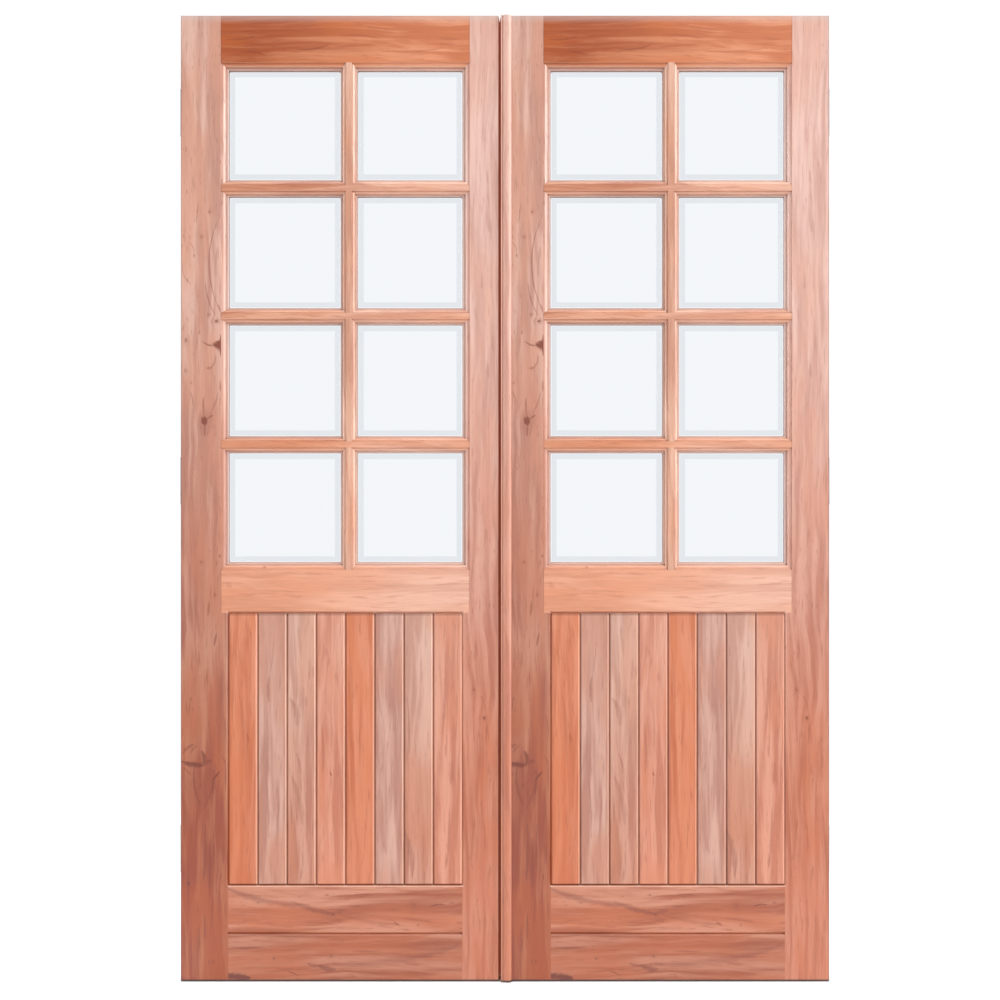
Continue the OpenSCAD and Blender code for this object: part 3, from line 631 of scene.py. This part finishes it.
# A stroke: from x, z to x, z, bow to the side, half width, strength
STILE_STROKES = (
    (-2, 1612, -2, 1411, -23, 2.0, 0.62), (-6, 1424, -1, 1408, 0, 2.4, 0.6),
    (-48, 1636, -52, 1596, 0, 2.2, 0.5), (-67, 1556, -57, 1529, 4, 1.8, 0.4),
    (-7, 1545, -10, 1482, -2, 3.0, 0.35), (-80, 1500, -62, 1466, -5, 2.0, 0.35),
    (-33, 1470, -12, 1402, -4, 2.2, 0.55), (-13.5, 1340, 14, 1336, 0, 17.0, 1.0),
    (-0.8, 1361, -0.8, 1316, 0, 2.8, 1.0), (-10, 1342, 3, 1328, 0, 9.0, 1.0),
    (-10, 1345, 4, 1343, 0, 8.0, 1.0), (-9, 1339, -38, 1346, 4, 3.2, 0.7),
    (-12, 1318, -22, 1290, 4, 2.6, 0.5), (-30, 1290, -19, 1291, 0, 5.5, 0.45),
    (-1.4, 1264, -1.4, 1242, 0, 2.2, 0.7), (-64, 1240, -60, 1212, 2, 2.6, 0.45),
    (-6.5, 1238, -20.5, 1199, 2, 3.2, 0.4), (-35, 1190, -37, 1228, 1, 3.4, 0.5),
    (-30, 1181, -17, 1191, 1, 2.8, 0.8), (-34.5, 1172, -34, 1148, 0, 3.6, 0.6),
    (-24, 800, -27, 770, 0, 4.5, 0.45), (-10, 732, -14, 706, 0, 4.0, 0.55),
    (-64, 591, -69, 556, 0, 2.0, 0.5), (4, 560, 10, 512, 3, 2.0, 0.35),
    (-80, 480, -57, 499, 2, 5.0, 0.45), (-64, 480, -51, 496, 1, 3.5, 0.4),
    (-40, 484, -36, 454, 3, 7.0, 0.7), (2, 474, 10, 456, 1, 2.4, 0.45),
    (-86, 463, -48, 458, -1, 3.8, 0.85), (-74, 457, -40, 454, 0, 10.0, 0.75),
    (-42, 458, -20, 464, 0, 9.0, 0.4), (10, 457, 9.5, 400, 0, 2.2, 0.4),
    (-56, 455, -44, 372, -6, 4.0, 0.45), (-81, 450, -62, 432, 2, 3.5, 0.35),
    (-2, 442, -17, 424, 0, 3.2, 0.9), (-12, 440, -38, 360, 4, 3.0, 0.35),
    (-16.5, 426, -16.5, 394, 0, 3.8, 0.55), (-43.6, 419, -43.6, 404, 0, 2.2, 0.5),
    (-34, 330, -36, 215, 2, 5.0, 0.35), (-14, 330, -16, 240, 0, 3.0, 0.35),
    (-22, 300, -24, 180, 0, 3.5, 0.40), (-68, 252, -68, 165, 0, 3.2, 0.35),
    (-18, 180, -20, 110, 0, 3.0, 0.30), (-34, 140, -33, 88, 0, 3.0, 0.50),
    (-46, 120, -48, 60, 0, 4.0, 0.28))
LIGHT_STILE_KNOTS = ((533, 613, 2.2, 2.0, 0, 0.6), (554, 554, 4.0, 1.2, 0, 0.8))
LIGHT_STILE_STROKES = ((548, 600, 556, 566, 3, 2.0, 0.35), (560, 548, 556, 500, 2, 2.0, 0.3))
TOP_RAIL_STROKES = (
    (14, 1983, 72, 1990, 4, 3.5, 0.4), (54, 1956, 92, 1949, -3, 3.0, 0.4),
    (160, 1962, 228, 1972, 5, 3.5, 0.45), (250, 1990, 330, 1986, -3, 3.0, 0.25),
    (340, 1958, 470, 1964, 4, 3.0, 0.25))
MIDDLE_RAIL_KNOTS = ((91, 871, 2.8, 1.0, 0, 0.6),)
MIDDLE_RAIL_STROKES = ((12, 838, 22, 830, 0, 9.0, 0.22),)
UPPER_RAIL_KNOTS = (
    (79, 166, 3.0, 1.5, 0, 0.5), (224, 181, 2.5, 1.4, 0, 0.55),
    (235.5, 140.6, 3.0, 1.3, 20, 0.9), (406, 159, 4.5, 1.0, 0, 0.35),
    (415, 118.5, 1.8, 1.0, 0, 0.7), (486, 165, 3.5, 1.3, 0, 0.4))
UPPER_RAIL_STROKES = (
    (16, 194, 120, 164, 3, 10.0, 0.42), (110, 168, 172, 160, 3, 10.0, 0.42),
    (150, 166, 236, 141, 2, 9.0, 0.50), (180, 124, 246, 118, -2, 3.0, 0.3),
    (218, 146, 240, 140, 0, 4.0, 0.55), (236, 142, 262, 148, -2, 7.0, 0.35),
    (250, 140, 372, 120, 4, 6.0, 0.25), (271, 158, 296, 158, 1, 2.2, 0.55),
    (281, 181, 318, 181, -2, 2.2, 0.6), (364, 124, 376, 118, 0, 2.4, 0.7),
    (442, 158, 470, 161, -2, 3.0, 0.75))
LOWER_RAIL_KNOTS = ((111.5, 47.7, 2.4, 1.1, 0, 0.75), (232, 52.5, 2.4, 1.1, 0, 0.7))
LOWER_RAIL_STROKES = (
    (4, 13, 60, 7, 0, 12.0, 0.95), (24, 72, 92, 72, 2, 4.0, 0.3),
    (90, 20, 150, 26, 2, 3.0, 0.3), (140, 22, 163, 12, 0, 2.2, 0.65),
    (184, 37, 206, 33, 2, 6.0, 0.45), (204, 34, 240, 25, 3, 9.0, 0.55),
    (238, 36, 500, 76, 12, 13.0, 0.28))
BOARD_STROKES = (
    ((56, 520, 60, 500, 0, 3.0, 0.3), (40, 600, 52, 420, 4, 6.0, 0.18)),
    ((110, 715, 104, 650, 2, 2.0, 0.35), (102, 640, 101, 588, -2, 4.5, 0.45),
     (96, 420, 100, 300, 2, 3.0, 0.3)),
    ((146, 594, 160, 540, 6, 9.0, 0.3), (158, 480, 168, 438, 2, 2.5, 0.45),
     (150, 430, 172, 330, 4, 8.0, 0.25)),
    ((212, 540, 214, 440, 2, 4.0, 0.3), (230, 440, 233, 432, 0, 2.6, 0.75)),
    ((270, 700, 276, 560, 3, 3.0, 0.25),),
    ((330, 660, 338, 560, -3, 3.0, 0.3), (322, 430, 324, 380, 0, 4.0, 0.35)),
    ((392, 600, 396, 480, 2, 2.5, 0.35), (384, 320, 402, 222, 6, 9.0, 0.35)),
    ((470, 640, 466, 520, 3, 4.0, 0.3), (480, 360, 474, 240, 3, 4.0, 0.3)))

LOOKS = {
    "hinge_stile": Look(*STILE, (1.65, 0.12), 1.0, flecks=0.7, knots=STILE_KNOTS,
                        strokes=STILE_STROKES),
    "meeting_stile": Look(*LIGHT_STILE, (1.60, 0.30), 2.0, knots=LIGHT_STILE_KNOTS,
                          strokes=LIGHT_STILE_STROKES),
    "top_rail": Look(*TOP_RAIL, (0.05, 0.48), 3.0, level=True, flecks=0.4,
                     strokes=TOP_RAIL_STROKES),
    "middle_rail": Look(*MIDDLE_RAIL, (0.1, 0.5), 4.0, level=True, flecks=0.2,
                        knots=MIDDLE_RAIL_KNOTS, strokes=MIDDLE_RAIL_STROKES),
    "upper_bottom_rail": Look(*UPPER_BOTTOM_RAIL, (0.0, 0.5), 5.0, level=True,
                              knots=UPPER_RAIL_KNOTS, strokes=UPPER_RAIL_STROKES),
    "lower_bottom_rail": Look(*LOWER_BOTTOM_RAIL, (0.0, 0.5), 6.0, level=True,
                              knots=LOWER_RAIL_KNOTS, strokes=LOWER_RAIL_STROKES),
    "upright_bar": Look(*UPRIGHT, (0.8, 1.9), 7.0, flecks=0.2),
    "cross_bars": Look(*CROSS_BARS, (0.16, 0.34), 8.0, level=True, flecks=0.2),
    "glazing_beads": Look(*UPRIGHT, (0.8, 1.9), 9.0, flecks=0.2),
}
for k in range(BOARD_COUNT):
    kind = k % len(BOARDS)
    LOOKS[f"board_{k + 1}"] = Look(*BOARDS[kind], (0.75, 0.22), 11.0 + kind, flecks=0.3,
                                   strokes=BOARD_STROKES[k], sway=0.022)
STRIP_LOOK = Look(*STRIP, (1.75, 0.35), 21.0)
# The photograph's right leaf repeats the left one, so its left stile has the left stile's
# timber, whichever edge it hangs on
SWAPS = {"left": {}, "right": {"hinge_stile": "meeting_stile", "meeting_stile": "hinge_stile"}}


def give(name, material):
    """Puts a material on every slot of a CAD node."""
    piece = nodes[name]
    if not piece.data.materials:
        piece.data.materials.append(material)
    for slot in piece.material_slots:
        slot.material = material


def field_left(side):
    """Where the left quirk line of a leaf's glazed field stands in the part."""
    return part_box(side + "_top_rail")[0].x + TENON


def dress_leaf(side):
    """Gives a leaf's timber pieces, panes and hinges their materials."""
    field_x = field_left(side)
    low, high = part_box(side + "_hinge_stile")
    outer_x = (low if side == "left" else high).x - field_x
    for name in LOOKS:
        look = LOOKS[SWAPS[side].get(name, name)]
        edge = outer_x if name == "hinge_stile" else None
        give(f"{side}_{name}", timber(f"{side}_{name}", look, field_x, edge))
    for i in range(PANE_COUNT):
        give(f"{side}_pane_{i + 1}", PANE)
    for name in ("hinge_plates", "jamb_plates", "hinge_pins"):
        give(f"{side}_{name}", PLATE_STEEL)
    give(f"{side}_hinge_screws", SCREW_STEEL)


def make_slit_shade_sheet():
    """A thin dark sheet on the right leaf's edge that closes the slit between the leaves and shows
    it as painted shade.
    """
    to_left, to_right = 0.0003, 0.0009
    depth, inset = 0.0040, 0.0005
    short, rounding = 0.002, 0.0003
    low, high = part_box("right_meeting_stile")
    middle = (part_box("left_meeting_stile")[1].x + low.x) / 2
    start = Vector((middle - to_left, high.y - inset - depth, low.z + short))
    end = Vector((middle + to_right, high.y - inset, high.z - short))
    shape = bmesh.new()
    bmesh.ops.create_cube(shape, size=1.0)
    bmesh.ops.scale(shape, vec=end - start, verts=shape.verts)
    bmesh.ops.bevel(shape, geom=shape.edges[:], offset=rounding, segments=2, profile=0.5,
                    affect="EDGES")
    bmesh.ops.translate(shape, vec=(start + end) / 2, verts=shape.verts)
    mesh = bpy.data.meshes.new("right_meeting_lipping")
    shape.to_mesh(mesh)
    shape.free()
    mesh.materials.append(slit_shade_timber())
    lipping = bpy.data.objects.new("right_meeting_lipping", mesh)
    bpy.context.scene.collection.objects.link(lipping)
    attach(lipping, "right_leaf")


def make_camera():
    """The photograph's straight-on view: 1 pixel of 1000 is 2.1046 mm at the front face."""
    view_height = 2.1046
    centre_x, centre_z = -0.0105, 1.0128
    distance = 3.3
    data = bpy.data.cameras.new("camera")
    data.sensor_fit = "AUTO"
    data.sensor_width = 36.0
    data.lens = data.sensor_width * distance / view_height
    data.clip_end = 100.0
    camera = bpy.data.objects.new("camera", data)
    camera.location = (centre_x, FRONT - distance, centre_z)
    camera.rotation_euler = (math.radians(90), 0.0, 0.0)
    bpy.context.scene.collection.objects.link(camera)
    bpy.context.scene.camera = camera


def soft_light(name, place, target, size, power, tone=(1.0, 1.0, 1.0)):
    """A studio softbox that points at its target."""
    data = bpy.data.lights.new(name, "AREA")
    data.shape = "RECTANGLE"
    data.size, data.size_y = size
    data.energy = power
    data.color = tone
    light = bpy.data.objects.new(name, data)
    light.location = place
    light.rotation_euler = (Vector(target) - Vector(place)).to_track_quat("-Z", "Y").to_euler()
    bpy.context.scene.collection.objects.link(light)


def make_world():
    """A white studio with a softbox at each side and overhead, dimmer where the camera is."""
    white, strength = (1.0, 1.0, 1.0, 1.0), 1.02
    behind_door, behind_camera = 0.95, 0.55
    side_box, top_box = 3.6, 2.8
    world = bpy.data.worlds.new("studio")
    bpy.context.scene.world = world
    world.use_nodes = True
    m = Maker(world.node_tree)
    x, y, z = m.split(m.add("ShaderNodeTexCoord").outputs["Generated"])
    level = m.times(m.ramp(y, -0.25, -0.8, behind_door, behind_camera),
                    m.ramp(z, -0.3, -0.9, 1.0, 1.05))
    for toward, gain in ((m.times(x, -1.0), side_box), (x, side_box), (z, top_box)):
        level = m.math("ADD", level, m.ramp(toward, 0.80, 0.95, 0.0, gain))
    color = m.mix(m.ramp(y, 0.1, 0.35), m.triple(level), white)
    shader = m.add("ShaderNodeBackground", None, Color=color, Strength=strength)
    m.add("ShaderNodeOutputWorld", None, Surface=shader.outputs[0])


def floor_material(radius):
    """A white floor, with a painted contact shadow close under the leaves. It fades out towards its
    rim.
    """
    material, m = new_material("studio_floor")
    place = m.place()
    # Painted contact shadow: where the leaves stand close, the floor is darker and gives less of
    # its own light
    lit = m.ramp(m.openness(0.006), 0.45, 0.75)
    tone = m.times(m.ramp(m.noise(place, (3.0, 3.0, 3.0), 3.0), 0.3, 0.7, 0.58, 0.61,
                          smooth=False), m.ramp(lit, 0.0, 1.0, 0.25, 1.0))
    shader = m.add("ShaderNodeBsdfPrincipled", None, Base_Color=m.triple(tone), Roughness=0.7)
    shader.inputs["Emission Color"].default_value = (1.0, 1.0, 1.0, 1.0)
    m.put(shader.inputs["Emission Strength"], m.times(lit, 0.35))
    rim = m.ramp(m.vector("LENGTH", place), 0.7, radius * 0.95)
    faded = m.add("ShaderNodeMixShader", None, Fac=rim)
    m.put(faded.inputs[1], shader.outputs[0])
    m.put(faded.inputs[2], m.add("ShaderNodeBsdfTransparent").outputs[0])
    m.surface(faded)
    return material


def make_floor():
    """A round studio floor, just under the leaves' feet."""
    radius, below = 2.6, 0.0005
    bpy.ops.mesh.primitive_circle_add(vertices=96, radius=radius, fill_type="NGON",
                                      location=(0.0, 0.0, -below))
    floor = bpy.context.object
    floor.name = "studio_floor"
    floor.data.materials.append(floor_material(radius))


TIMBER = timber_group()
KNOT = knot_group()
STROKE = stroke_group()
PANE = glass()
PLATE_STEEL = steel("hinge_steel", PLATE_TONE, 0.48)
SCREW_STEEL = steel("screw_steel", SCREW_TONE, 0.40)
dress_leaf("left")
dress_leaf("right")
give("right_cover_strip", timber("right_cover_strip", STRIP_LOOK, field_left("right")))
make_camera()
make_world()
make_floor()
make_slit_shade_sheet()
soft_light("key", place=(9.2, -8.8, 6.2), target=(0.0, 0.0, 1.05), size=(4.4, 6.0),
           power=1200.0, tone=(1.0, 0.985, 0.96))
soft_light("back", place=(-2.4, 3.0, 2.6), target=(0.0, 0.0, 1.0), size=(2.4, 2.4), power=90.0)
bpy.context.scene.view_settings.view_transform = "Standard"
bpy.context.scene.view_settings.look = "None"
